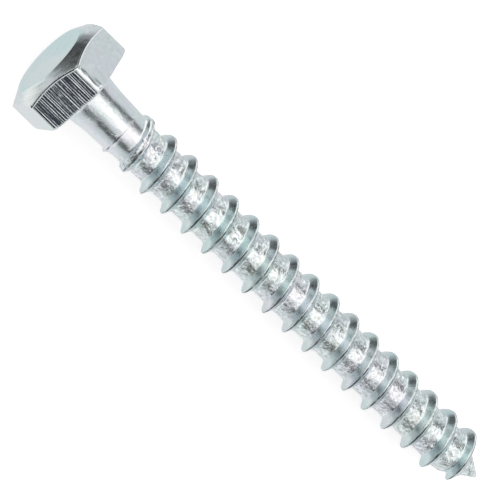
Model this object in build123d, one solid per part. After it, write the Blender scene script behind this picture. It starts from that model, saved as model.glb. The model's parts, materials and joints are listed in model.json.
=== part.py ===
from build123d import *
import os
from math import acos, atan2, cos, degrees, floor, hypot, pi, radians, sin, tan

# A hex-head lag screw: one forging of steel with a rolled wood-screw thread.
# It is drawn along +X, with the bearing face under the head at X = 0, the head behind
# that plane and the point ahead of it, and is then laid down as it rests on a table.

# head
head_across_flats = 13.2
head_height = 5.5
head_top_diameter = 10.0
head_chamfer_angle = 30.0
head_corner_rounding = 0.4
head_rim_rounding = 0.4

# shear marks that the trimming die left along one side of the head
shear_mark_count = 22
shear_mark_depth = 0.15
shear_mark_crown_depth = 0.02
shear_mark_corner_margin = 0.4
shear_mark_end_margin = 0.35

# neck and plain shank
neck_diameter = 7.28
neck_fillet_radius = 0.45
neck_length = 3.3
shank_diameter = 6.45
shank_end_diameter = 6.1
plain_length = 5.5

# thread
thread_pitch = 3.6
thread_angle = 60.0
thread_diameter = 7.78
core_diameter = 5.6
crest_land = 0.42
thread_start_angle = 33.0
core_taper_start = 1.7
core_taper_length = 3.2
thread_fade_length = 3.1
thread_fade_power = 1.6
bare_tip_length = 1.4

# point
length_under_head = 70.8
point_length = 4.4
point_tip_radius = 0.3

# How the thread grows out of the shank: turns after its start, share of its full height
# above the shank, and the width of its land, which is broad until the dies fill the crest.
run_in = [
    (0.0, -0.15, 0.10),
    (0.35, 0.30, 0.24),
    (0.85, 0.42, 0.80),
    (1.35, 0.49, 0.72),
    (1.85, 0.97, crest_land),
    (2.1, 1.0, crest_land),
]

# how far the foot of the thread is sunk in the core that it is fused to
foot_depth = 0.2
points_per_turn = 16

half_flats = head_across_flats / 2
half_corners = half_flats / cos(radians(30))
crest_radius = thread_diameter / 2
core_radius = core_diameter / 2
shank_end_radius = shank_end_diameter / 2
flank_slope = tan(radians(thread_angle / 2))
clear_of_head = 1.0

# places along the screw
core_taper_at = plain_length + core_taper_start
point_start = length_under_head - point_length
thread_end = length_under_head - bare_tip_length
thread_full_end = thread_end - thread_fade_length
crest_on_y_side = plain_length - thread_pitch * thread_start_angle / 360


def between(value, rows):
    """The other columns at a value of the first, in line between the nearest rows."""
    if value <= rows[0][0]:
        return rows[0][1:]
    for low, high in zip(rows, rows[1:]):
        if value <= high[0]:
            share = (value - low[0]) / (high[0] - low[0])
            return [a + share * (b - a) for a, b in zip(low[1:], high[1:])]
    return rows[-1][1:]


# the point's cone runs on into a small round tip, which it touches at tip_start
tip_centre = length_under_head - point_tip_radius
cone_length = tip_centre - point_start
cone_angle = acos(point_tip_radius / hypot(cone_length, core_radius)) - atan2(cone_length, core_radius)
tip_start = tip_centre + point_tip_radius * sin(cone_angle)
tip_start_radius = point_tip_radius * cos(cone_angle)

# the core's outline, as places along the screw and the radius there
core_outline = [
    (0.0, neck_diameter / 2),
    (neck_length, shank_diameter / 2),
    (core_taper_at, shank_end_radius),
    (core_taper_at + core_taper_length, core_radius),
    (point_start, core_radius),
    (tip_start, tip_start_radius),
    (length_under_head, 0.0),
]


def core_radius_at(x):
    return between(x, core_outline)[0]


def make_core():
    """Neck, shank, core of the thread and point, turned about the axis."""
    collar_radius = neck_diameter / 2 + neck_fillet_radius
    collar_back = -head_height / 2
    outline = FilletPolyline(
        (collar_back, collar_radius),
        (0, collar_radius),
        *core_outline[:6],
        radius=[0, neck_fillet_radius, 0, 0, 0, 0],
    )
    half_way = radians(45)
    tip = ThreePointArc(
        (tip_start, tip_start_radius),
        (tip_centre + point_tip_radius * cos(half_way), point_tip_radius * sin(half_way)),
        (length_under_head, 0),
    )
    closing = Polyline((length_under_head, 0), (collar_back, 0), (collar_back, collar_radius))
    return revolve(make_face(outline + tip + closing), Axis.X)


def crest_at(turn):
    """Place, radius and half land of the crest, by turns after the start of the thread."""
    x = plain_length + thread_pitch * turn
    share, land = between(turn, run_in)
    radius = shank_end_radius + share * (crest_radius - shank_end_radius)
    if x > thread_full_end:
        fade = (x - thread_full_end) / thread_fade_length
        radius -= (crest_radius - core_radius_at(thread_end)) * fade ** thread_fade_power
        land *= 1 - fade / 2
    return x, radius, land / 2


def ridge_section(turn):
    """The thread's section as four (x, radius) corners: foot, crest, crest, foot."""
    x, crest, half_land = crest_at(turn)
    reach = half_land + (crest - core_radius_at(x)) * flank_slope
    feet = []
    for side in (-1, 1):
        sunk = min(core_radius_at(x + side * max(reach, half_land)), crest) - foot_depth
        feet.append((x + side * (half_land + (crest - sunk) * flank_slope), sunk))
    return [feet[0], (x - half_land, crest), (x + half_land, crest), feet[1]]


def around(turn, x, radius):
    """A point of the thread in space."""
    angle = radians(thread_start_angle) + 2 * pi * turn
    return Vector(x, radius * cos(angle), radius * sin(angle))


def heading(turn, line):
    """How one helical edge of the ridge runs on, per turn."""
    step = 0.001
    before = around(turn - step, *ridge_section(turn - step)[line])
    after = around(turn + step, *ridge_section(turn + step)[line])
    return (after - before) / (2 * step)


def make_thread():
    """The ridge: ruled faces between its helical edges, a turn at a time, and two ends."""
    turns = (thread_end - plain_length) / thread_pitch
    faces = []
    first = 0.0
    while first < turns:
        last = min(first + 1, turns)
        steps = max(3, round((last - first) * points_per_turn))
        marks = [first + (last - first) * i / steps for i in range(steps + 1)]
        sections = [ridge_section(mark) for mark in marks]
        edges = []
        for line in range(4):
            places = [around(mark, *section[line]) for mark, section in zip(marks, sections)]
            ends = [heading(first, line), heading(last, line)]
            edges.append(Edge.make_spline(places, tangents=ends, parameters=marks, scale=False))
        for edge, next_edge in zip(edges, edges[1:] + edges[:1]):
            faces.append(Face.make_surface_from_curves(edge, next_edge))
        first = last
    for end in (0, turns):
        corners = [around(end, *corner) for corner in ridge_section(end)]
        faces.append(Face(Wire.make_polygon(corners, close=True)))
    return Solid(Shell(faces))


def make_shear_marks():
    """What the marks take off the +Z side of the head: uneven grooves along the axis."""
    reach = half_corners / 2 - shear_mark_corner_margin
    width = 2 * reach / shear_mark_count
    crown = half_flats - shear_mark_crown_depth
    outline = []
    for i in range(shear_mark_count):
        edge = -reach + i * width
        middle = edge + width * (0.5 + 0.2 * sin(2.1 * i))
        depth = shear_mark_depth * (0.65 + 0.35 * sin(3.7 * i + 1))
        outline += [(edge, crown), (middle, crown - depth)]
    above = half_flats + clear_of_head
    outline += [(reach, crown), (reach, above), (-reach, above)]
    section = Plane.YZ.offset(-head_height - clear_of_head) * make_face(Polyline(*outline, close=True))
    return extrude(section, head_height + clear_of_head - shear_mark_end_margin)


def make_head():
    """A hexagonal prism, chamfered to a round top by a cone, with one side scored."""
    hexagon = RegularPolygon(radius=half_corners, side_count=6)
    hexagon = fillet(hexagon.vertices(), head_corner_rounding)
    prism = extrude(Plane.YZ.offset(-head_height) * hexagon, head_height)
    beyond = half_corners + clear_of_head
    top_radius = head_top_diameter / 2
    chamfer_depth = (beyond - top_radius) * tan(radians(head_chamfer_angle))
    outline = FilletPolyline(
        (-head_height, 0),
        (-head_height, top_radius),
        (-head_height + chamfer_depth, beyond),
        (0, beyond),
        (0, 0),
        radius=[head_rim_rounding, 0, 0],
    )
    closing = Line((0, 0), (-head_height, 0))
    envelope = revolve(make_face(outline + closing), Axis.X)
    return (prism & envelope) - make_shear_marks()


def lay_down(screw):
    """Tip the screw until it rests on one side of the head and on the last full crest."""
    reach = thread_full_end - crest_land / 2 - crest_on_y_side
    last_turn_below = floor(reach / thread_pitch - 0.75) + 0.75
    rest_crest = crest_on_y_side + thread_pitch * last_turn_below + crest_land / 2
    tilt = degrees(atan2(half_flats - crest_radius, rest_crest))
    screw = Rot(0, tilt, 0) * screw
    box = screw.bounding_box()
    print(f"tilt {tilt:.4f} deg, bearing face at {-box.center().X:.4f}, {-box.min.Z:.4f}")
    return Pos(-box.center().X, -box.center().Y, -box.min.Z) * screw


lag_screw = lay_down(make_core() + make_thread() + make_head()).solid()
print(f"volume {lag_screw.volume:.2f} mm3, size {lag_screw.bounding_box().size}")
os.makedirs("parts", exist_ok=True)
export_step(lag_screw, "parts/lag_screw.step")
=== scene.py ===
import json
import math

import bmesh
import bpy
from mathutils import Matrix, Vector, noise


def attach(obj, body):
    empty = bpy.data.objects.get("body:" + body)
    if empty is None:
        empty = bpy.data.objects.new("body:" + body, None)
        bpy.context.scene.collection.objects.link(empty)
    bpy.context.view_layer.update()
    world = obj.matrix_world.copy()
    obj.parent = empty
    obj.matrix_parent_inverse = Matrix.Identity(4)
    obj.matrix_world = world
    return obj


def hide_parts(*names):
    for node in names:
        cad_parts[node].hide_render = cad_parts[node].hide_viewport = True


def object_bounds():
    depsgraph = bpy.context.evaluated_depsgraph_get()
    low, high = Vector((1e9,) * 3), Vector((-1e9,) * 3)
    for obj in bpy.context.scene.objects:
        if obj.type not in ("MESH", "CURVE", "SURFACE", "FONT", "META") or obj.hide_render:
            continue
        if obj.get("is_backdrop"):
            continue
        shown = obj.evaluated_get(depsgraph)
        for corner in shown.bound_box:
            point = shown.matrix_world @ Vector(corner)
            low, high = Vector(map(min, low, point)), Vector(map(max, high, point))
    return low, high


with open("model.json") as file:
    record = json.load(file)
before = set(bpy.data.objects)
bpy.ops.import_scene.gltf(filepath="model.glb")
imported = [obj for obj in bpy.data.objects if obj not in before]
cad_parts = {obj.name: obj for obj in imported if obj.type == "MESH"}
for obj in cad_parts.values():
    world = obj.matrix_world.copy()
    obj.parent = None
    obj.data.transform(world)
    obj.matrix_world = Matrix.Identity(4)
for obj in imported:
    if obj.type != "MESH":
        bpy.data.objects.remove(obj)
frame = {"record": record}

cadLow, cadHigh = (list(map(float, corner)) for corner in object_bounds())
mm = 0.001
fullTurn = 2 * math.pi

# The screw's own axis comes from the mount under its head: "seat" is on the bearing face,
# "ahead" runs to the point, and angles go round from "side" towards "upward".
mounts = {mount["name"]: mount for mount in frame["record"]["mounts"]}
seat = Vector(mounts["bearing_face"]["pos_m"])
ahead = Vector(mounts["bearing_face"]["axis"]).normalized()
side = Vector((0, 1, 0))
upward = ahead.cross(side)
screwFrame = Matrix((ahead, side, upward)).transposed().to_4x4()
screwFrame.translation = seat

# millimetres and degrees
head = {
    "acrossFlats": 13.2,
    "height": 5.5,
    "topDiameter": 10.0,
    "chamferAngle": 30.0,
    "cornerRounding": 0.42,
    "rimRounding": 0.6,
    "shoulderRounding": (0.14, 0.38),  # beside the scored side, and beside the plain ones
    "footRounding": (0.16, 0.42),  # along the sides, and at the corners
    "cornerFrom": (7.0, 7.5),  # radii between which a side turns into a corner
    "cornerSteps": (6, 10),  # at a plain corner, and at the rolled one
    "rolledCorner": 1,
    "rolledRounding": 0.75,
    "dingDepth": 0.11,
    "dingReach": 5.0,  # degrees each way from the rolled corner
    "burr": 0.06,
    "crackDepth": 0.06,
    "waviness": 0.012,
    "wavinessSize": 2.2,
    "plainColumns": 34,
    "markedColumns": 198,
    "flatRim": 0.75,  # width of the flat top's outermost ring of faces
    "flatRings": ((3.9, 120), (3.3, 120), (2.6, 60), (1.9, 60), (1.2, 30), (0.6, 15)),  # radius, columns
    # share of the way down the chamfer, and how far the burr's crack is open there, which also sets its
    # painted shade
    "chamferRows": (
        (0.15, 0.0), (0.3, 0.0), (0.45, 0.0), (0.6, 0.0), (0.75, 0.0), (0.84, 0.0), (0.885, 0.0),
        (0.92, -0.85), (0.965, -1.0),
    ),
    "burrShade": (-1.0, -0.7, -0.5, 0.0, 0.0, 0.0, 0.0),
    "sideRows": (
        0.01, 0.025, 0.04, 0.07, 0.16, 0.28, 0.4, 0.52, 0.64, 0.76, 0.86, 0.92, 0.95, 0.97, 0.99,
    ),
    "underWidth": 0.7,
    "sideFrom": 5.6,  # radius from which dents lie across the axis, not along it
}
# how much of the head's crown a place belongs to
crownMarks = {"flat": 1.0, "chamfer": 0.6, "shoulder": 0.3, "side": 0.0}
shearMarks = {
    "face": 1,
    "count": 22,
    "depth": 0.11,
    "crown": 0.02,
    "cornerMargin": 0.4,
    "endMargin": 0.2,
    "fadeIn": 0.16,
    "fadeOut": (0.12, 0.05),
    "sway": 0.16,  # share of a groove's width by which its place wanders
    "swayPerMm": 5.3,
    "lean": 0.2,
    "steepness": 1.25,
    "depthShare": (0.7, 0.3),  # mean and spread from groove to groove
    "tearDepth": 0.03,
    "shade": (0.16, 0.84),  # at least, and added with the depth
    "marginShade": 0.7,
}
shank = {
    "neckDiameter": 7.28,
    "neckFillet": 0.45,
    "neckLength": 3.3,
    "diameter": 6.45,
    "endDiameter": 6.1,
    "plainLength": 5.5,
    "outlineRounding": 0.45,
    "waviness": 0.03,
    "wavinessSize": 1.5,
    "collarRings": (1.2, 0.5),  # width of the flat rings round the fillet
    "neckBlend": 0.6,
    "meshEnd": 4.9,
    "rings": 28,
}
thread = {
    "pitch": 3.6,
    "angle": 60.0,
    "diameter": 7.78,
    "coreDiameter": 5.6,
    "crestLand": 0.42,
    "startAngle": 33.0,
    "startCreep": (0.42, 0.75),  # towards the point: over the first turn, and at its very start
    "filledFrom": (1.3, 1.95),  # turns after which the die is full
    "crestLean": 0.05,
    "crestBlend": (0.03, 0.04, 0.12),  # of flank and land: at least, added behind, added where blunt
    "bluntFrom": (0.45, 0.8),
    "landShift": 1.0,
    "footBlend": (0.14, 0.07, 0.12),  # at the crest, and added on the head's and the point's side
    "rolledFrom": (8.0, 10.2),
    "taperStart": 1.7,
    "taperLength": 3.2,
    "fadeLength": 3.1,
    "fadePower": 1.6,
    "seamOffset": 0.17,
    "seamWidth": 0.135,
    "seamWander": 0.035,
    "seamSteepness": 1.7,
    "seamDepth": 0.06,
    "openAndShadedSide": (55, 85, 105, 150),  # degrees round the screw: the seam opens wide, with more painted shade, and closes again
    "openness": (0.42, 0.58),  # of the seam and its painted shade elsewhere, and added on that side
    # distance from the crest and openness: folds of the first turns, creases behind the thread
    "folds": ((-0.16, 0.25), (-0.04, 0.75), (0.10, 0.45), (0.24, 0.6), (0.54, 0.15)),
    "foldWidth": 0.06,
    "foldShare": 0.8,
    "foldDepth": 0.05,
    "creases": ((0.42, 0.05), (0.60, 0.12), (0.81, -0.05), (1.04, -0.15)),
    "creaseWidth": 0.09,
    "creaseShare": 0.36,
    "footShare": (0.10, 0.30),  # of the height that is still root: on the head's and the point's side
    "hammering": (0.058, 0.045, 0.012),  # small and large dents of the roots, and how deep they lie
    "crestWaves": 0.016,
    "nickDepth": 0.05,
    "tearDepth": 0.03,
    "columns": 108,
    "endMargin": 0.03,  # rows closer than this to an end ring close up on it
    # distance of the rows from the crest: on both sides, and more where the creases are
    "rowOffsets": (
        0, 0.04, 0.09, 0.14, 0.19, 0.24, 0.31, 0.42, 0.54, 0.66, 0.76, 0.86, 0.97, 1.12, 1.32, 1.55,
    ),
    "creasedOffsets": (0.48, 0.60, 0.71, 0.81, 0.91, 1.04),
}
point = {
    "lengthUnderHead": 70.8,
    "length": 4.4,
    "tipRadius": 0.3,
    "bareLength": 1.4,
    "roughFrom": (0.9, 1.9),  # after the start of the cone
    "roughness": 0.05,
    "meshStart": 70.0,
    "rings": ((70.12, 54), (70.26, 54)),  # place along the screw, columns
    "tipColumns": (27, 14),
    "tipRings": (3, 2),  # with many columns, and with few
    "tipRingBack": 0.08,
    "tipShade": (0.3, 0.05, 0.5),  # first ring, added by each ring, very end
    "inset": 0.01,
}

# turns after the thread's start, share of its full height, width of its land
runIn = [
    (-0.06, -0.10, 0.04),
    (0.02, 0.05, 0.04),
    (0.12, 0.13, 0.05),
    (0.24, 0.32, 0.08),
    (0.38, 0.50, 0.16),
    (0.60, 0.44, 0.40),
    (0.85, 0.56, 0.60),
    (1.35, 0.50, 0.72),
    (1.85, 0.97, thread["crestLand"]),
    (2.1, 1.0, thread["crestLand"]),
]

halfFlats = head["acrossFlats"] / 2 - head["burr"]
halfSide = math.radians(30)  # half of a flat side, seen from the axis
crestRadius = thread["diameter"] / 2
coreRadius = thread["coreDiameter"] / 2
shankEndRadius = shank["endDiameter"] / 2
flankSlope = math.tan(math.radians(thread["angle"] / 2))
chamferSlope = math.tan(math.radians(head["chamferAngle"]))
taperAt = shank["plainLength"] + thread["taperStart"]
pointStart = point["lengthUnderHead"] - point["length"]
threadEnd = point["lengthUnderHead"] - point["bareLength"]
threadFullEnd = threadEnd - thread["fadeLength"]


def spotAt(along, radius, angle):
    # a place on the screw, in mm from its seat
    return Vector((along, radius * math.cos(angle), radius * math.sin(angle)))


def between(value, rows):
    if value <= rows[0][0]:
        return rows[0][1:]
    for low, high in zip(rows, rows[1:]):
        if value <= high[0]:
            share = (value - low[0]) / (high[0] - low[0])
            return [a + share * (b - a) for a, b in zip(low[1:], high[1:])]
    return rows[-1][1:]


def smooth(value, low, high):
    share = min(max((value - low) / (high - low), 0), 1)
    return share * share * (3 - 2 * share)


def ripple(spot, size, seed, octaves=2):
    # seamless uneven surface, about -1 to 1, with bumps of the given size in mm
    return noise.fractal(spot / size + Vector((seed, seed * 0.7, -seed)), 1.0, 2.0, octaves)


tipCentre = point["lengthUnderHead"] - point["tipRadius"]
coneLength = tipCentre - pointStart
coneAngle = math.acos(point["tipRadius"] / math.hypot(coneLength, coreRadius))
coneAngle -= math.atan2(coneLength, coreRadius)
tipStart = tipCentre + point["tipRadius"] * math.sin(coneAngle)
tipStartRadius = point["tipRadius"] * math.cos(coneAngle)
coreOutline = [
    (0.0, shank["neckDiameter"] / 2),
    (shank["neckLength"], shank["diameter"] / 2),
    (taperAt, shankEndRadius),
    (taperAt + thread["taperLength"], coreRadius),
    (pointStart, coreRadius),
    (tipStart, tipStartRadius),
    (point["lengthUnderHead"], 0.0),
]


def coreAt(along):
    # the mean over a short stretch rounds the outline's corners
    reach = shank["outlineRounding"]
    return sum(between(along + reach * step / 2, coreOutline)[0] for step in (-2, -1, 0, 1, 2)) / 5


def roundedCorner(before, corner, after, radius, steps):
    # points of the arc that rounds a corner of an outline
    toBefore = (Vector(before) - Vector(corner)).normalized()
    toAfter = (Vector(after) - Vector(corner)).normalized()
    half = toBefore.angle(toAfter) / 2
    centre = Vector(corner) + (toBefore + toAfter).normalized() * radius / math.sin(half)
    first = Vector(corner) + toBefore * radius / math.tan(half) - centre
    last = Vector(corner) + toAfter * radius / math.tan(half) - centre
    sweep = first.angle(last)
    found = []
    for step in range(steps + 1):
        share = step / steps
        weightFirst = math.sin((1 - share) * sweep) / math.sin(sweep)
        weightLast = math.sin(share * sweep) / math.sin(sweep)
        found.append(centre + first * weightFirst + last * weightLast)
    return found


# groove, seam and crest also say where the finishes paint shade
markNames = ("groove", "seam", "crown", "rise", "crest", "rolled")


class Skin:
    # gathers the vertices and faces of one closed mesh, and the marks that the finishes read
    def __init__(self):
        self.vertices = []
        self.faces = []
        self.marks = {name: [] for name in markNames}
        self.zones = []

    def add(self, along, radius, angle, **marks):
        self.vertices.append(spotAt(along, radius, angle) * mm)
        marks["rolled"] = smooth(along, *thread["rolledFrom"])
        for name in markNames:
            self.marks[name].append(marks.get(name, 0.0))
        return len(self.vertices) - 1

    def zone(self, name):
        # faces from here on have this finish
        self.zones.append((len(self.faces), name))

    def ring(self, along, radius, columns, wavy=False, seam=0.0):
        made = []
        for column in range(columns):
            angle = fullTurn * column / columns
            lift = drawnWave(along, radius, angle) if wavy else 0
            made.append((angle, self.add(along, radius + lift, angle, seam=seam)))
        return made

    def join(self, low, high):
        # quads between equal rings, triangles between unequal ones
        count, other = len(low), len(high)
        if count == other:
            for i in range(count):
                j = (i + 1) % count
                self.faces.append((low[i][1], low[j][1], high[j][1], high[i][1]))
            return
        i = j = 0
        while i < count or j < other:
            nextLow = low[(i + 1) % count][0] + (fullTurn if i + 1 >= count else 0)
            nextHigh = high[(j + 1) % other][0] + (fullTurn if j + 1 >= other else 0)
            if j >= other or (i < count and nextLow <= nextHigh):
                self.faces.append((low[i % count][1], low[(i + 1) % count][1], high[j % other][1]))
                i += 1
            else:
                self.faces.append((low[i % count][1], high[(j + 1) % other][1], high[j % other][1]))
                j += 1

    def fan(self, ring, middle):
        for i in range(len(ring)):
            self.faces.append((ring[i][1], ring[(i + 1) % len(ring)][1], middle))


def markDepth(across):
    # the uneven grooves of the scored side, by the place across it: depth, and the level of painted shade in
    # them
    reach = halfFlats / math.cos(halfSide) / 2 - shearMarks["cornerMargin"]
    if abs(across) >= reach:
        return 0.0, shearMarks["marginShade"]
    edge = smooth(reach - abs(across), 0, 0.1)
    width = 2 * reach / shearMarks["count"]
    across += shearMarks["sway"] * width * math.sin(across * shearMarks["swayPerMm"])
    number = min(max(int((across + reach) / width), 0), shearMarks["count"] - 1)
    share = min(max((across + reach) / width - number, 0), 1)
    middle = 0.5 + shearMarks["lean"] * math.sin(2.1 * number)
    mean, spread = shearMarks["depthShare"]
    depth = mean + spread * math.sin(3.7 * number + 1)
    level = share / middle if share < middle else (1 - share) / (1 - middle)
    wide = min(level * shearMarks["steepness"], 1)
    groove = shearMarks["crown"] + shearMarks["depth"] * depth * wide
    least, more = shearMarks["shade"]
    return groove * edge, (least + more * wide * (0.5 + 0.5 * depth)) * edge


def headColumns():
    # (angle, radius, face, place across the face) round the rounded hexagon
    columns = []
    slope = math.tan(halfSide)

    def rounding(corner):
        return head["rolledRounding"] if corner % 6 == head["rolledCorner"] else head["cornerRounding"]

    for face in range(6):
        normal = math.radians(30 + 60 * face)
        count = head["markedColumns"] if face == shearMarks["face"] else head["plainColumns"]
        low = -(halfFlats - rounding(face)) * slope
        high = (halfFlats - rounding(face + 1)) * slope
        for i in range(count + 1):
            across = low + (high - low) * i / count
            angle = normal + math.atan2(across, halfFlats)
            columns.append((angle, math.hypot(across, halfFlats), face, -across))
        corner = math.radians(60 * (face + 1))
        radius = rounding(face + 1)
        far = (halfFlats - radius) / math.cos(halfSide)
        steps = head["cornerSteps"][radius > head["cornerRounding"]]
        for i in range(1, steps):
            turn = math.radians(60) * (i / steps - 0.5)
            x = far + radius * math.cos(turn)
            y = radius * math.sin(turn)
            columns.append((corner + math.atan2(y, x), math.hypot(x, y), face, None))
    return sorted((angle % fullTurn, radius, face, across) for angle, radius, face, across in columns)


def headProfile(radius, groove, shoulderRounding):
    # from inside the flat top, over chamfer and side, to the underside, as (along, radius, crown, cut)
    top = -head["height"]
    topRadius = head["topDiameter"] / 2
    shoulder = (top + (radius - topRadius) * chamferSlope, radius)
    rows = [(top, topRadius - head["flatRim"], crownMarks["flat"], 0.0)]
    for spot in roundedCorner((top, 0), (top, topRadius), shoulder, head["rimRounding"], 5):
        rows.append((*spot, crownMarks["flat"], 0.0))
    steps = len(head["burrShade"]) - 1
    cone = roundedCorner((top, topRadius), shoulder, (0, radius), shoulderRounding, steps)
    start = Vector(rows[-1][:2])
    rows += [(*start.lerp(cone[0], share), crownMarks["chamfer"], cut) for share, cut in head["chamferRows"]]
    for i, (spot, cut) in enumerate(zip(cone, head["burrShade"])):
        raised = spot.y + head["burr"] * math.sin(math.pi * i / steps) ** 2
        rows.append((spot.x, raised, crownMarks["shoulder"], cut))
    plainFoot, cornerFoot = head["footRounding"]
    footRadius = plainFoot + (cornerFoot - plainFoot) * smooth(radius, *head["cornerFrom"])
    foot = roundedCorner((top, radius), (0, radius), (0, 0), footRadius, 4)
    begin, end = cone[-1][0], foot[0][0]
    fadeStart, fadeEnd = shearMarks["fadeOut"]
    for share in head["sideRows"]:
        along = begin + (end - begin) * share
        kept = smooth(along, begin, begin + shearMarks["fadeIn"])
        kept *= 1 - smooth(along, -shearMarks["endMargin"] - fadeStart, -shearMarks["endMargin"] + fadeEnd)
        rows.append((along, radius - groove * kept, crownMarks["side"], kept))
    rows += [(*spot, crownMarks["side"], 0.0) for spot in foot]
    rows.append((0, radius - head["underWidth"], crownMarks["side"], 0.0))
    return rows


def headSwell(spot):
    # the slight unevenness of the forged head
    return head["waviness"] * ripple(spot, head["wavinessSize"], 3) - head["waviness"]


def makeHead(skin):
    sharp, plain = head["shoulderRounding"]
    rings = None
    for angle, radius, face, across in headColumns():
        scored = face == shearMarks["face"]
        groove = level = 0.0
        if scored and across is not None:
            # depth of the groove, and the level of painted shade in it
            groove, level = markDepth(across)
            groove *= radius / halfFlats
        profile = headProfile(radius, groove, sharp if scored else plain)
        if rings is None:
            rings = [[] for row in profile]
        dinged = abs(math.degrees(angle) - 60 * head["rolledCorner"]) < head["dingReach"]
        for row, (along, reach, crown, kept) in enumerate(profile):
            spot = spotAt(along, reach, angle)
            dent = headSwell(spot)
            paintedShade = level * abs(kept)
            if groove and kept > 0:
                torn = Vector((spot.x * 0.15, spot.y * 1.3, spot.z))
                dent -= shearMarks["tearDepth"] * abs(ripple(torn, 0.2, 11)) * kept
            elif scored and kept < 0:
                # the crack behind the burr, and painted shade in the crack and on that side of the burr
                dent -= head["crackDepth"] * smooth(-kept, 0.75, 0.85)
                paintedShade = abs(kept)
            onCrown = crown > 0.5
            if dinged and not onCrown:
                dent -= head["dingDepth"] * max(ripple(spot, 0.8, 61) + 0.05, 0)
            if onCrown or reach <= head["sideFrom"]:
                vertex = skin.add(along - dent, reach, angle, groove=paintedShade, crown=crown)
            else:
                vertex = skin.add(along, reach + dent, angle, groove=paintedShade, crown=crown)
            rings[row].append((angle, vertex))
    skin.zone("head")
    for low, high in zip(rings, rings[1:]):
        skin.join(low, high)
    inner = rings[0]
    top = -head["height"]
    for radius, count in head["flatRings"]:
        made = []
        for i in range(count):
            angle = fullTurn * i / count
            raised = top - headSwell(spotAt(top, radius, angle))
            made.append((angle, skin.add(raised, radius, angle, crown=crownMarks["flat"])))
        skin.join(made, inner)
        inner = made
    skin.fan(inner, skin.add(top + head["waviness"], 0, 0, crown=crownMarks["flat"]))
    return rings[-1]


def crestAt(turn):
    along = shank["plainLength"] + thread["pitch"] * turn
    share, land = between(turn, runIn)
    radius = shankEndRadius + share * (crestRadius - shankEndRadius)
    if along > threadFullEnd:
        fade = (along - threadFullEnd) / thread["fadeLength"]
        radius -= (crestRadius - coreAt(threadEnd)) * min(fade, 1.3) ** thread["fadePower"]
        land *= max(1 - fade / 2, 0.2)
    return along, radius, land / 2


def softMax(a, b, width):
    return (a + b + math.sqrt((a - b) ** 2 + width * width)) / 2


def drawnWave(along, radius, angle):
    # slight waviness of the drawn shank
    spot = spotAt(along * 0.5, radius, angle)
    return shank["waviness"] * ripple(spot, shank["wavinessSize"], 31, 3) - 0.02


def ridgeRadius(turn, offset, across, crest, halfLand, core, unfilled):
    # the thread's section: flanks, land, and the rounding into the core; once the thread is full
    # its land lies towards the point, where the rolled metal met
    shift = halfLand * thread["landShift"] * (1 - unfilled)
    flank = crest - max(shift - halfLand - across, across - halfLand, 0) / flankSlope
    blunt = unfilled * smooth(turn, *thread["bluntFrom"])
    behind = 1 - smooth(across, shift - halfLand, halfLand * 0.7)
    least, more, whereBlunt = thread["crestBlend"]
    blend = least + more * behind + whereBlunt * blunt
    leaning = -crest + thread["crestLean"] * behind
    ridge = -softMax(-flank, leaning, blend) + blend / 2 - 0.01 * behind
    atCrest, headSide, pointSide = thread["footBlend"]
    rounding = atCrest + (headSide if offset < 0 else pointSide) * smooth(abs(offset), 0, 0.3)
    return softMax(ridge, core, rounding)


def foldLine(offset, aside, width, onCore, sway, size, seed):
    # 1 on a wavering line beside the crest, falling to 0 at its edges
    return max(1 - abs(offset - aside + sway * ripple(onCore, size, seed)) / width, 0)


def openSeam(turn, offset, wander, angle, onCore, height, unfilled, rolled):
    # how far the metal is open, which also sets the painted shade there: the seam beside the crest, folds of
    # the first turns, creases behind
    turned = math.degrees(angle) % 360
    opens, wideOpen, closes, closed = thread["openAndShadedSide"]
    least, more = thread["openness"]
    # on one side of the screw the seam is more open and its painted shade darker
    openAndShadedSide = least + more * smooth(turned, opens, wideOpen) * (1 - smooth(turned, closes, closed))
    seam = 0.0
    if turn > 0.02:
        fromSeam = offset - wander - thread["seamOffset"] * smooth(turn, 0.5, 1.6)
        fromSeam += 0.05 * ripple(onCore, 1.1, 17)
        notch = min(max(thread["seamSteepness"] * (1 - abs(fromSeam) / thread["seamWidth"]), 0), 1)
        openedAndShaded = smooth(ripple(onCore, 0.8, 5) + 0.75, 0, 0.9)
        openedAndShaded *= 0.5 + 0.5 * smooth(ripple(onCore, 3.0, 6), -0.3, 0.2)
        seam = notch * min(height + unfilled, 1) * (0.3 + 0.7 * openedAndShaded) * openAndShadedSide
        seam *= 0.75 + 0.25 * smooth(turn, 0.4, 0.8)
    if unfilled and turn > 0.7:
        for aside, openness in thread["folds"]:
            seed = 40 + 10 * aside
            fold = foldLine(offset, aside, thread["foldWidth"], onCore, 0.06, 1.3, seed)
            gap = smooth(ripple(onCore, 0.7, seed + 1) + openness * openAndShadedSide, 0, 0.7)
            seam = max(seam, thread["foldShare"] * fold * unfilled * gap)
    for aside, openness in thread["creases"]:
        seed = 70 + 10 * aside
        crease = foldLine(offset, aside, thread["creaseWidth"], onCore, 0.07, 2.0, seed)
        gap = smooth(ripple(onCore, 1.3, seed + 1) + openness, -0.05, 0.35)
        seam = max(seam, thread["creaseShare"] * crease * rolled * gap)
    return seam


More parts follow.
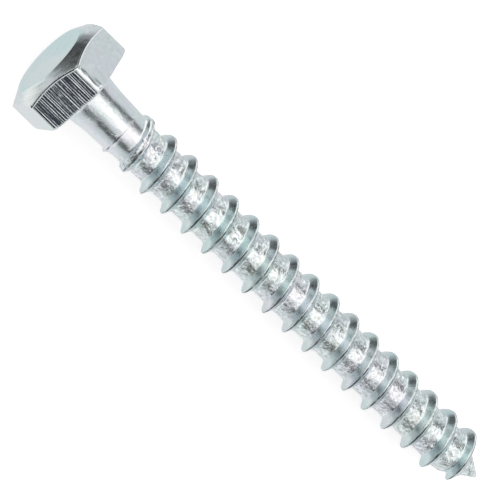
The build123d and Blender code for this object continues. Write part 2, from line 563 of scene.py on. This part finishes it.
def threadSurface(turn, offset, angle):
    # along, radius and the finish's marks beside the crest of a given turn
    along, crest, halfLand = crestAt(turn)
    slow, quick = thread["startCreep"]
    creep = slow * (1 - smooth(turn, 0.3, 0.9)) + quick * (1 - smooth(turn, -0.08, 0.24))
    creep *= 1 - smooth(abs(offset), 0.5, 1.7)
    here = along + offset + creep
    core = coreAt(here)
    unfilled = 1 - smooth(turn, *thread["filledFrom"])
    rolled = smooth(here, *thread["rolledFrom"])
    onCore = spotAt(here, core, angle)
    wander = thread["seamWander"] * ripple(onCore, 1.4, 21)
    across = offset - wander * (1 + unfilled)
    radius = ridgeRadius(turn, offset, across, crest, halfLand, core, unfilled)
    height = min(max((radius - core) / (crestRadius - coreRadius), 0), 1)
    seam = openSeam(turn, offset, wander, angle, onCore, height, unfilled, rolled)
    radius -= seam * (thread["seamDepth"] + thread["foldDepth"] * unfilled)
    # the hammered roots, and the waviness of shank and flanks
    footShare = thread["footShare"][offset >= 0]
    root = 1 - smooth(height, 0.005, footShare)
    small, large, sunk = thread["hammering"]
    stretched = Vector((onCore.x * 1.4, onCore.y, onCore.z))
    radius += root * rolled * (small * ripple(stretched, 0.6, 8, 2) + large * ripple(onCore, 1.7, 9) - sunk)
    radius += (1 - rolled) * drawnWave(here, core, angle)
    radius += (1 - root) * 0.006 * ripple(onCore, 0.6, 13)
    if unfilled and turn > 0.6:
        torn = unfilled * smooth(turn, 0.6, 0.9) * smooth(height, 0.1, 0.3)
        radius += torn * thread["tearDepth"] * ripple(onCore, 0.4, 91)
        seam = max(seam, 0.5 * torn * smooth(ripple(onCore, 0.35, 93), 0.15, 0.5))
    # the crest is a little nicked, and the bare point rough
    atCrest = smooth(height, 0.78, 0.95)
    nicks = thread["nickDepth"] * max(ripple(onCore, 0.45, 33) - 0.25, 0)
    radius += atCrest * (thread["crestWaves"] * ripple(onCore, 0.5, 13) - nicks)
    roughStart, roughEnd = point["roughFrom"]
    onPoint = smooth(here, pointStart + roughStart, pointStart + roughEnd)
    if onPoint:
        radius += onPoint * root * point["roughness"] * ripple(onCore, 0.7, 51)
        seam = max(seam, 0.55 * onPoint * root * smooth(ripple(onCore, 0.55, 53), 0.15, 0.5))
    rise = smooth(height, 0.0, footShare) * (1 - 0.6 * smooth(offset, 0, 0.25))
    rise *= smooth(turn, 0.9, 1.6)
    # painted shade over the crest's land towards the point, up to the seam
    crestShadeMask = smooth(offset, -0.05, 0.12) * smooth(height, 0.80, 0.92) * smooth(turn, 0.7, 1.3)
    crestShadeMask *= 1 - smooth(offset, 0.22, 0.32)
    return here, min(radius, max(crest, core) + 0.02), seam, rise, crestShadeMask


def makeThread(skin, lowRing, lowEnd, highRing, highEnd):
    # a grid of rows that follow the helix; rows beyond the end rings close up on them
    pitch = thread["pitch"]
    columns = thread["columns"]
    near = thread["rowOffsets"]
    offsets = sorted([-x for x in near[1:]] + [*near, *thread["creasedOffsets"], pitch / 2])
    startAngle = math.radians(thread["startAngle"])
    turnsAll = range(-2, int((highEnd - shank["plainLength"]) / pitch) + 3)
    rows = [(turn, offset) for turn in turnsAll for offset in offsets]
    margin = thread["endMargin"]
    grid = []
    for column in range(columns):
        angle = fullTurn * column / columns
        ids = []
        for turn, offset in rows:
            exact = turn + ((angle - startAngle) / fullTurn)
            along, radius, seam, rise, crest = threadSurface(exact, offset, angle)
            if along < lowEnd + margin:
                ids.append(lowRing[column][1])
            elif along > highEnd - margin:
                ids.append(highRing[column][1])
            else:
                ids.append(skin.add(along, radius, angle, seam=seam, rise=rise, crest=crest))
        grid.append(ids)
    perTurn = len(offsets)
    skin.zone("shaft")
    for column in range(columns):
        following = (column + 1) % columns
        shift = perTurn if following == 0 else 0
        for row in range(len(rows) - 1 - perTurn):
            corners = (
                grid[column][row],
                grid[following][row + shift],
                grid[following][row + shift + 1],
                grid[column][row + 1],
            )
            kept = tuple(dict.fromkeys(corners))
            if len(kept) > 2:
                skin.faces.append(kept)


def makeShank(skin, under):
    columns = thread["columns"]
    rounding = shank["neckFillet"]
    collar = shank["neckDiameter"] / 2 + rounding
    outer, inner = shank["collarRings"]
    skin.zone("shaft")
    ring = skin.ring(0, collar + outer, columns)
    skin.join(under, ring)
    fillet = roundedCorner((0, collar), (0, collar - rounding), (1, collar - rounding), rounding, 5)
    outline = [(0, collar + inner)] + [tuple(spot) for spot in fillet]
    for along, radius in outline:
        following = skin.ring(along, radius, columns)
        skin.join(ring, following)
        ring = following
    along, radiusThere = outline[-1]
    end = shank["meshEnd"]
    for i in range(1, shank["rings"] + 1):
        here = along + (end - along) * i / shank["rings"]
        blendIn = smooth(here, along, along + shank["neckBlend"])
        radius = coreAt(here) * blendIn + radiusThere * (1 - blendIn)
        following = skin.ring(here, radius, columns, wavy=True)
        skin.join(ring, following)
        ring = following
    return ring


def makeTip(skin):
    start = point["meshStart"]
    skin.zone("shaft")
    rings = [skin.ring(start, coreAt(start), thread["columns"])]
    many, few = point["tipColumns"]
    for here, count in (*point["rings"], (tipStart - point["tipRingBack"], many)):
        rings.append(skin.ring(here, between(here, coreOutline)[0] + point["inset"], count))
    wideRings, narrowRings = point["tipRings"]
    steps = wideRings + narrowRings
    shade, darker, endShade = point["tipShade"]
    for i in range(steps):
        turn = coneAngle + (math.pi / 2 - coneAngle) * i / steps
        along = tipCentre + point["tipRadius"] * math.sin(turn) - point["inset"]
        count = many if i < wideRings else few
        rings.append(skin.ring(along, point["tipRadius"] * math.cos(turn), count, seam=shade + darker * i))
    for low, high in zip(rings, rings[1:]):
        skin.join(low, high)
    skin.fan(rings[-1], skin.add(point["lengthUnderHead"] - point["inset"], 0, 0, seam=endShade))
    return rings[0]


def buildScrew():
    skin = Skin()
    under = makeHead(skin)
    low = makeShank(skin, under)
    high = makeTip(skin)
    makeThread(skin, low, shank["meshEnd"], high, point["meshStart"])
    mesh = bpy.data.meshes.new("lagScrewSkin")
    mesh.from_pydata(skin.vertices, [], skin.faces)
    for name in markNames:
        layer = mesh.attributes.new(name, "FLOAT", "POINT")
        layer.data.foreach_set("value", skin.marks[name])
    slots = list(finishes)
    for name in slots:
        mesh.materials.append(finishes[name])
    starts = skin.zones + [(len(skin.faces), None)]
    indices = []
    for (first, name), (following, _) in zip(starts, starts[1:]):
        indices += [slots.index(name)] * (following - first)
    mesh.polygons.foreach_set("material_index", indices)
    work = bmesh.new()
    work.from_mesh(mesh)
    bmesh.ops.recalc_face_normals(work, faces=work.faces)
    oddEdges = sum(1 for edge in work.edges if len(edge.link_faces) != 2)
    work.to_mesh(mesh)
    work.free()
    mesh.transform(screwFrame)
    mesh.shade_smooth()
    piece = bpy.data.objects.new("lagScrewSkin", mesh)
    bpy.context.collection.objects.link(piece)
    triangles = sum(len(polygon.vertices) - 2 for polygon in mesh.polygons)
    print("screw mesh:", triangles, "triangles,", oddEdges, "edges without exactly two faces")
    return piece


def newNode(tree, kind, **values):
    # a node with its sockets and settings filled in; another node's socket is linked to its input
    made = tree.nodes.new("ShaderNode" + kind)
    for name, value in values.items():
        if name.startswith("set_"):
            setattr(made, name[4:], value)
    for name, value in values.items():
        if name.startswith("set_"):
            continue
        numbered = name.startswith("in") and name[2:].isdigit()
        socket = made.inputs[int(name[2:]) if numbered else name]
        if isinstance(value, bpy.types.NodeSocket):
            tree.links.new(value, socket)
        else:
            socket.default_value = value
    return made


def maths(tree, operation, first, second=0.0):
    return newNode(tree, "Math", set_operation=operation, in0=first, in1=second).outputs[0]


def plus(tree, first, second):
    return maths(tree, "ADD", first, second)


def times(tree, first, second):
    return maths(tree, "MULTIPLY", first, second)


def swing(tree, value, reach):
    # a noise value's swing to both sides of its middle
    return times(tree, maths(tree, "SUBTRACT", value, 0.5), reach)


def scaled(tree, vector, factor):
    return newNode(tree, "VectorMath", set_operation="SCALE", in0=vector, Scale=factor).outputs[0]


def mixed(tree, share, first, second):
    # the first colour, turning into the second as the share goes to 1
    return newNode(tree, "Mix", set_data_type="RGBA", in0=share, in6=first, in7=second).outputs[2]


def noiseNode(tree, where, detail, roughness=0.5, **values):
    return newNode(tree, "TexNoise", Vector=where, Scale=1.0, Detail=detail, Roughness=roughness, **values)


def mapped(tree, value, low, high, toLow, toHigh):
    made = newNode(tree, "MapRange", Value=value)
    for label, number in (("From Min", low), ("From Max", high), ("To Min", toLow), ("To Max", toHigh)):
        made.inputs[label].default_value = number
    return made.outputs[0]


def colourRamp(tree, factor, stops):
    ramp = newNode(tree, "ValToRGB", Fac=factor)
    elements = ramp.color_ramp.elements
    while len(elements) < len(stops):
        elements.new(0.5)
    for element, (position, colour) in zip(elements, stops):
        element.position = position
        element.color = colour
    return ramp.outputs["Color"]


def newGroup(name, inputs, outputs):
    # inputs are numbers with their usual values, outputs are named with their kinds
    group = bpy.data.node_groups.new(name, "ShaderNodeTree")
    for label, value in inputs.items():
        socket = group.interface.new_socket(label, in_out="INPUT", socket_type="NodeSocketFloat")
        socket.default_value = value
    for label, kind in outputs.items():
        group.interface.new_socket(label, in_out="OUTPUT", socket_type="NodeSocket" + kind)
    return group, group.nodes.new("NodeGroupInput").outputs, group.nodes.new("NodeGroupOutput").inputs


def stretchedPlace(tree, along, across):
    # the place on the screw in mm, stretched along its axis and across it
    where = newNode(tree, "TexCoord").outputs["Object"]
    scale = newNode(tree, "CombineXYZ", X=along, Y=across, Z=across).outputs[0]
    onScrew = newNode(tree, "Mapping", set_vector_type="TEXTURE", Vector=where)
    onScrew.inputs["Location"].default_value = seat
    onScrew.inputs["Rotation"].default_value = screwFrame.to_euler()
    onScrew.inputs["Scale"].default_value = (mm, mm, mm)
    inMm = onScrew.outputs[0]
    return newNode(tree, "VectorMath", set_operation="MULTIPLY", in0=inMm, in1=scale).outputs[0]


zincTints = {
    "plain": (0.72, 0.785, 0.815, 1),
    "washed": (0.565, 0.765, 0.785, 1),
    "clouds": [
        (0.30, (0.715, 0.810, 0.790, 1)),
        (0.46, (0.700, 0.790, 0.815, 1)),
        (0.58, (0.725, 0.785, 0.835, 1)),
        (0.72, (0.750, 0.785, 0.840, 1)),
    ],
}


def makeTintGroup():
    # faint green, blue and violet clouds of the passivated zinc
    tree, given, out = newGroup(
        "passivationTint",
        {"Scale": 0.2, "Strength": 1.0, "Cyan": 0.0, "Cloud": 0.1},
        {"Color": "Color", "Dull": "Float"},
    )
    where = stretchedPlace(tree, given["Scale"], given["Scale"])
    drift = noiseNode(tree, where, 2.0, Distortion=0.4)
    clouds = colourRamp(tree, drift.outputs["Fac"], zincTints["clouds"])
    plain = mixed(tree, given["Strength"], zincTints["plain"], clouds)
    patches = noiseNode(tree, stretchedPlace(tree, 0.13, 0.17), 1.0)
    cyan = times(tree, given["Cyan"], mapped(tree, patches.outputs["Fac"], 0.36, 0.62, 0.15, 1.0))
    washed = mixed(tree, cyan, plain, zincTints["washed"])
    fine = noiseNode(tree, stretchedPlace(tree, 1.7, 1.7), 5.0, 0.65)
    cloudy = swing(tree, fine.outputs["Fac"], given["Cloud"])
    level = plus(tree, times(tree, cloudy, 2.0), 1.0)
    tree.links.new(scaled(tree, washed, level), out["Color"])
    tree.links.new(fine.outputs["Fac"], out["Dull"])
    return tree


def makeGrainGroup():
    # fine lines and unevenness left by drawing and rolling
    tree, given, out = newGroup(
        "drawnGrain",
        {"Along": 1.0, "Across": 1.0, "Seed": 0.0, "Detail": 4.0},
        {"Height": "Float"},
    )
    where = stretchedPlace(tree, given["Along"], given["Across"])
    moved = newNode(tree, "VectorMath", set_operation="ADD", in0=where, in1=given["Seed"]).outputs[0]
    lines = noiseNode(tree, moved, given["Detail"], 0.55)
    tree.links.new(lines.outputs["Fac"], out["Height"])
    return tree


def makePitGroup():
    # scattered small pits and dings of uneven outline
    tree, given, out = newGroup(
        "scatteredPits",
        {"Along": 1.0, "Across": 1.0, "Size": 0.2, "Share": 0.4},
        {"Mask": "Float"},
    )
    frayed = noiseNode(tree, stretchedPlace(tree, 3.0, 3.0), 2.0).outputs["Color"]
    shifted = scaled(tree, frayed, 0.45)
    spread = stretchedPlace(tree, given["Along"], given["Across"])
    where = newNode(tree, "VectorMath", set_operation="ADD", in0=spread, in1=shifted).outputs[0]
    cells = newNode(tree, "TexVoronoi", Vector=where, Scale=1.0, Randomness=1.0)
    inside = maths(tree, "SUBTRACT", 1.0, maths(tree, "DIVIDE", cells.outputs["Distance"], given["Size"]))
    inside = maths(tree, "MAXIMUM", inside, 0.0)
    picked = newNode(tree, "SeparateColor", Color=cells.outputs["Color"]).outputs[0]
    chosen = maths(tree, "LESS_THAN", picked, given["Share"])
    tree.links.new(times(tree, inside, chosen), out["Mask"])
    return tree


def makeRingGroup():
    # fine turned rings round the axis
    tree, given, out = newGroup("turnedRings", {"Lines": 8.0}, {"Height": "Float"})
    inMm = newNode(tree, "SeparateXYZ", Vector=stretchedPlace(tree, 1.0, 1.0))
    y, z = inMm.outputs["Y"], inMm.outputs["Z"]
    radius = maths(tree, "SQRT", plus(tree, times(tree, y, y), times(tree, z, z)))
    lines = times(tree, radius, given["Lines"])
    where = newNode(tree, "CombineXYZ", X=lines, Y=times(tree, y, 0.5), Z=times(tree, z, 0.5)).outputs[0]
    rings = noiseNode(tree, where, 3.0, 0.6)
    tree.links.new(rings.outputs["Fac"], out["Height"])
    return tree


groups = {
    "tint": makeTintGroup(),
    "grain": makeGrainGroup(),
    "pits": makePitGroup(),
    "rings": makeRingGroup(),
}


def useGroup(tree, name, **values):
    return newNode(tree, "Group", set_node_tree=groups[name], **values).outputs


def grain(tree, along, across, seed, detail=4.0):
    return useGroup(tree, "grain", Along=along, Across=across, Seed=seed, Detail=detail)["Height"]


def attributeValue(tree, name):
    return newNode(tree, "Attribute", set_attribute_name=name).outputs["Fac"]


headFinish = {
    "tint": (0.14, 0.8, 0.12),  # scale, strength, cloudiness
    # grains: scale along and across the screw, seed, detail
    "mottle": (2.6, 2.6, 4.0),
    "scores": (0.12, 8.0, 9.0),
    "scratches": (2.2, 16.0, 3.0),
    "blotches": (0.55, 0.55, 8.0, 1.0),
    "ringLines": 3.0,
    "pits": {"Along": 0.7, "Across": 0.7, "Size": 0.10, "Share": 0.4},
    "roughness": (0.12, 0.22),
    "scoredRoughness": 0.08,
    "turnedRoughness": 0.045,
    "grainDepth": 0.010,
    "ringDepth": 0.026,
    "ringShade": 0.5,
    "scoreDepth": 0.012,
    "pitDepth": 0.03,
    "blotchDepth": 0.05,
    "grooveShadeColour": (0.050, 0.065, 0.082, 1),
    "grooveShadeUnevenness": (1.8, 0.9),  # from long scores and from short scratches
    "grooveShadeRange": (0.29, 0.49),
}


def newMetal(name):
    material = bpy.data.materials.new(name)
    material.use_nodes = True
    shader = material.node_tree.nodes["Principled BSDF"]
    shader.inputs["Metallic"].default_value = 1.0
    return material, material.node_tree, shader


def finishMetal(tree, shader, colour, rough, height):
    bump = newNode(tree, "Bump", Height=height, Strength=1.0, Distance=mm)
    tree.links.new(colour, shader.inputs["Base Color"])
    tree.links.new(rough, shader.inputs["Roughness"])
    tree.links.new(bump.outputs[0], shader.inputs["Normal"])


def makeHeadFinish():
    material, tree, shader = newMetal("zincHead")
    finish = headFinish
    crown = attributeValue(tree, "crown")
    # the groove mark carries the painted shade of the scored side's grooves and of the burr's crack
    groove = attributeValue(tree, "groove")
    flatTop = mapped(tree, crown, 0.6, 1.0, 0.0, 1.0)
    scale, strength, cloud = finish["tint"]
    tint = useGroup(tree, "tint", Scale=scale, Strength=strength, Cyan=flatTop, Cloud=cloud)
    mottle, scores, scratches, blotches = (
        grain(tree, *finish[name]) for name in ("mottle", "scores", "scratches", "blotches")
    )
    rings = useGroup(tree, "rings", Lines=finish["ringLines"])["Height"]
    pits = useGroup(tree, "pits", **finish["pits"])["Mask"]
    # painted shade on the floors of the grooves and in the burr's crack, uneven along scores and scratches
    isScored = mapped(tree, groove, 0.02, 0.12, 0.0, 1.0)
    byScores, byScratches = finish["grooveShadeUnevenness"]
    uneven = plus(tree, swing(tree, scores, byScores), swing(tree, scratches, byScratches))
    dark = mapped(tree, plus(tree, groove, uneven), *finish["grooveShadeRange"], 0.0, 1.0)
    dark = times(tree, dark, isScored)
    # turned rings of the chamfer
    aboveSide = mapped(tree, crown, 0.3, 0.55, 0.0, 1.0)
    belowTop = mapped(tree, crown, 0.65, 0.9, 1.0, 0.0)
    onChamfer = times(tree, aboveSide, belowTop)
    onRings = swing(tree, rings, times(tree, onChamfer, finish["ringShade"]))
    brushed = scaled(tree, tint["Color"], plus(tree, 1.0, onRings))
    colour = mixed(tree, dark, brushed, finish["grooveShadeColour"])
    rough = mapped(tree, tint["Dull"], 0.3, 0.7, *finish["roughness"])
    rough = plus(tree, rough, times(tree, isScored, finish["scoredRoughness"]))
    rough = plus(tree, rough, times(tree, onChamfer, finish["turnedRoughness"]))
    height = times(tree, mottle, finish["grainDepth"])
    for source, depth in (
        (blotches, finish["blotchDepth"]),
        (rings, times(tree, onChamfer, finish["ringDepth"])),
        (times(tree, scratches, isScored), finish["scoreDepth"]),
        (pits, -finish["pitDepth"]),
    ):
        height = plus(tree, height, times(tree, source, depth))
    finishMetal(tree, shader, colour, rough, height)
    return material


shaftFinish = {
    "tint": (0.24, 1.0, 0.14),
    "streaks": (0.9, 3.0, 2.0, 2.0),
    "speckle": (2.5, 2.9, 7.0, 2.0),
    "specks": (5.0, 5.0, 12.0, 1.0),
    "dimples": (2.3, 2.0, 5.0, 1.5),
    "rolling": (6.0, 0.6, 1.0, 2.0),
    "dents": {"Along": 1.2, "Across": 0.6, "Size": 0.36, "Share": 0.4},
    "flankCyan": 0.55,
    "roughness": (0.16, 0.27),
    "rolledRoughness": 0.04,
    "seamRoughness": 0.2,
    "rolledShade": 0.96,
    "crestShade": (0.52, 0.92),
    # swing of the painted shade and highlight in the dimpled roots
    "mottle": 1.3,
    "streakDepth": 0.006,
    "speckleDepth": 0.018,
    "speckDepth": 0.012,
    "dimpleDepth": 0.095,
    "lineDepth": 0.020,
    "dentDepth": 0.12,
    "seamSpots": 1.4,
    "seamShadeColour": (0.055, 0.065, 0.065, 1),
}


def makeShaftFinish():
    material, tree, shader = newMetal("zincShaft")
    finish = shaftFinish
    rise, seam, rolled, crest = (attributeValue(tree, name) for name in ("rise", "seam", "rolled", "crest"))
    onFlank = times(tree, rise, finish["flankCyan"])
    scale, strength, cloud = finish["tint"]
    tint = useGroup(tree, "tint", Scale=scale, Strength=strength, Cyan=onFlank, Cloud=cloud)
    streaks, speckle, specks, dimples, rolling = (
        grain(tree, *finish[name]) for name in ("streaks", "speckle", "specks", "dimples", "rolling")
    )
    dents = useGroup(tree, "pits", **finish["dents"])["Mask"]
    inRoot = times(tree, maths(tree, "SUBTRACT", 1.0, rise), rolled)
    # rolled metal a shade duller, and painted shade over the crests towards the point, in spots
    dulled = mapped(tree, rolled, 0.0, 1.0, 1.0, finish["rolledShade"])
    crestShadeSpots = mapped(tree, speckle, 0.38, 0.60, *finish["crestShade"])
    crestShading = plus(tree, 1.0, times(tree, crest, maths(tree, "SUBTRACT", crestShadeSpots, 1.0)))
    shade = times(tree, dulled, crestShading)
    # painted shade and highlight in the roots, following the dimples
    rootShadeAndLight = swing(tree, dimples, times(tree, inRoot, finish["mottle"]))
    metal = scaled(tree, tint["Color"], plus(tree, shade, rootShadeAndLight))
    # painted shade where the seam, folds and creases are open, in spots; the same dark goes on torn metal,
    # on the rough point and at its tip
    speckled = swing(tree, tint["Dull"], finish["seamSpots"])
    spotted = plus(tree, seam, times(tree, speckled, seam))
    openedAndShaded = mapped(tree, spotted, 0.2, 0.65, 0.0, 0.95)
    colour = mixed(tree, openedAndShaded, metal, finish["seamShadeColour"])
    rough = mapped(tree, tint["Dull"], 0.3, 0.7, *finish["roughness"])
    rough = plus(tree, rough, times(tree, openedAndShaded, finish["seamRoughness"]))
    rough = plus(tree, rough, times(tree, rolled, finish["rolledRoughness"]))
    height = times(tree, streaks, finish["streakDepth"])
    for source, mask, depth in (
        (speckle, mapped(tree, rolled, 0.0, 1.0, 1.0, 0.6), finish["speckleDepth"]),
        (specks, mapped(tree, rise, 0.0, 1.0, 1.0, 0.3), finish["speckDepth"]),
        (dimples, inRoot, finish["dimpleDepth"]),
        (rolling, rolled, finish["lineDepth"]),
        (dents, inRoot, -finish["dentDepth"]),
    ):
        height = plus(tree, height, times(tree, times(tree, source, mask), depth))
    finishMetal(tree, shader, colour, rough, height)
    return material


finishes = {"head": makeHeadFinish(), "shaft": makeShaftFinish()}
print("finishes:", ", ".join(finishes))
screw = buildScrew()
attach(screw, "root")
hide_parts("lag_screw")

# degrees and millimetres
view = {
    "azimuth": -137.966,
    "elevation": 66.541,
    "roll": -174.394,
    "distance": 493.08,
    "aimOffset": (-3.556, 0.514, -1.251),
    "lens": 292.855,
    "sensor": 36.0,
}
middle = (Vector(cadLow) + Vector(cadHigh)) / 2


def makeCamera():
    azimuth, elevation, roll = (math.radians(view[name]) for name in ("azimuth", "elevation", "roll"))
    outward = math.cos(elevation)
    back = Vector((math.sin(azimuth) * outward, -math.cos(azimuth) * outward, math.sin(elevation)))
    level = Vector((0, 0, 1)).cross(back).normalized()
    above = back.cross(level)
    right = level * math.cos(roll) + above * math.sin(roll)
    over = back.cross(right)
    turned = Matrix((right, over, back)).transposed().to_4x4()
    aim = middle + Vector(view["aimOffset"]) * mm
    turned.translation = aim + back * view["distance"] * mm
    data = bpy.data.cameras.new("mainView")
    data.lens = view["lens"]
    data.sensor_width = view["sensor"]
    camera = bpy.data.objects.new("mainView", data)
    camera.matrix_world = turned
    bpy.context.collection.objects.link(camera)
    bpy.context.scene.camera = camera
    print("camera:", view["distance"], "mm from the screw")


makeCamera()


studio = {
    "floorReach": 0.9,
    "floorDrop": 0.00001,
    "floorColour": (0.86, 0.865, 0.875, 1),
    "floorRoughness": 0.9,
    "floorGlow": 0.46,
    # degrees round the screw, from its +Y side over the top: level of the white walls, soft boxes and gaps
    "walls": [
        (-180, 0.92), (-150, 0.93), (-120, 0.80), (-40, 0.79), (-14, 0.77), (-6, 0.70), (-1, 0.40),
        (3, 0.12), (13, 0.13), (18, 0.36), (23, 0.56), (28, 0.76), (34, 1.00), (40, 1.50),
        (66, 1.50), (74, 1.18), (84, 0.86), (92, 0.73), (103, 0.60), (109, 0.26), (114, 0.07),
        (129, 0.07), (135, 0.36), (140, 0.58), (150, 0.70), (165, 0.80), (180, 0.92),
    ],
    # the brightest lights are a little warmer than the walls
    "boxColour": (1.0, 0.922, 0.888),
    "warmFrom": (0.8, 1.2),
    # azimuth, elevation, reach of the full and faded parts in degrees, level
    "cards": [
        (166.5, -26.0, 5.0, 37.0, 0.055),
        (156.0, -4.0, 4.0, 17.0, 0.85),
        (-144.3, -31.2, 8.0, 20.0, 1.10),
        (-142.0, -2.0, 7.0, 24.0, 0.46),
    ],
    # from and to in degrees round the screw, from and to in degrees along it, fade, level
    "strips": [
        (-50.0, 80.0, -34.0, 4.0, 7.0, 1.40),
        (-180.0, 180.0, 48.0, 90.0, 6.0, 0.95),
        (20.0, 98.0, 34.0, 45.0, 4.0, 1.30),
        (98.0, 138.0, 34.0, 45.0, 4.0, 0.36),
        (138.0, 165.0, 34.0, 45.0, 4.0, 1.10),
        (97.0, 114.0, 8.0, 16.5, 2.5, 1.20),
    ],
}


def makeFloor():
    mesh = bpy.data.meshes.new("floor")
    reach = studio["floorReach"]
    corners = [(-reach, -reach, 0), (reach, -reach, 0), (reach, reach, 0), (-reach, reach, 0)]
    mesh.from_pydata(corners, [], [(0, 1, 2, 3)])
    floor = bpy.data.objects.new("floor", mesh)
    floor.location.z = -studio["floorDrop"]
    bpy.context.collection.objects.link(floor)
    material = bpy.data.materials.new("whiteFloor")
    material.use_nodes = True
    tree = material.node_tree
    shader = tree.nodes["Principled BSDF"]
    shader.inputs["Base Color"].default_value = studio["floorColour"]
    shader.inputs["Roughness"].default_value = studio["floorRoughness"]
    shader.inputs["Specular IOR Level"].default_value = 0.0
    shader.inputs["Emission Color"].default_value = (1, 1, 1, 1)
    path = newNode(tree, "LightPath")
    glow = times(tree, path.outputs["Is Camera Ray"], studio["floorGlow"])
    tree.links.new(glow, shader.inputs["Emission Strength"])
    mesh.materials.append(material)
    floor.visible_glossy = False
    floor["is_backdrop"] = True


makeFloor()


def smoothStep(tree, value, low, high):
    made = newNode(tree, "MapRange", set_interpolation_type="SMOOTHSTEP", Value=value)
    made.inputs["From Min"].default_value = low
    made.inputs["From Max"].default_value = high
    return made.outputs[0]


def cardMask(tree, direction, card):
    # 1 inside a round card in the studio, fading to 0 round it
    azimuth, elevation, full, faded = (math.radians(degrees) for degrees in card[:4])
    outward = math.cos(elevation)
    spot = (math.cos(azimuth) * outward, math.sin(azimuth) * outward, math.sin(elevation))
    toCard = newNode(tree, "VectorMath", set_operation="DOT_PRODUCT", in0=direction, in1=spot)
    return smoothStep(tree, toCard.outputs["Value"], math.cos(faded), math.cos(full))


def stripMask(tree, around, lengthwise, strip):
    # 1 inside a long card in the studio, fading to 0 at its edges
    roundFrom, roundTo, alongFrom, alongTo, fade = (math.radians(degrees) for degrees in strip[:5])
    mask = 1.0
    for value, low, high in ((around, roundFrom, roundTo), (lengthwise, alongFrom, alongTo)):
        for edge, sign in ((low, 1), (high, -1)):
            mask = times(tree, smoothStep(tree, value, edge - fade * sign, edge), mask)
    return mask


def lightColour(level, top):
    warm = smooth(level, *studio["warmFrom"])
    return (*(level / top * (1 + warm * (part - 1)) for part in studio["boxColour"]), 1)


def makeWorld():
    world = bpy.data.worlds.new("studio")
    bpy.context.scene.world = world
    world.use_nodes = True
    tree = world.node_tree
    background = tree.nodes["Background"]
    direction = newNode(tree, "TexCoord").outputs["Generated"]
    parts = newNode(tree, "SeparateXYZ", Vector=direction)
    around = maths(tree, "ARCTAN2", parts.outputs["Z"], parts.outputs["Y"])
    lengthwise = maths(tree, "ARCSINE", parts.outputs["X"])
    share = plus(tree, maths(tree, "DIVIDE", around, fullTurn), 0.5)
    top = max(level for _, level in studio["walls"])
    stops = [((degrees + 180) / 360, lightColour(level, top)) for degrees, level in studio["walls"]]
    lit = colourRamp(tree, share, stops)
    masks = [(cardMask(tree, direction, card), card[-1]) for card in studio["cards"]]
    masks += [(stripMask(tree, around, lengthwise, strip), strip[-1]) for strip in studio["strips"]]
    for mask, level in masks:
        lit = mixed(tree, mask, lit, lightColour(level, top))
    # the camera sees plain white
    white = (1 / top, 1 / top, 1 / top, 1)
    seen = mixed(tree, newNode(tree, "LightPath").outputs["Is Camera Ray"], lit, white)
    tree.links.new(seen, background.inputs["Color"])
    background.inputs["Strength"].default_value = top
    print("studio:", len(studio["cards"]), "cards,", len(studio["strips"]), "strips")


makeWorld()
bpy.context.scene.view_settings.view_transform = "Standard"
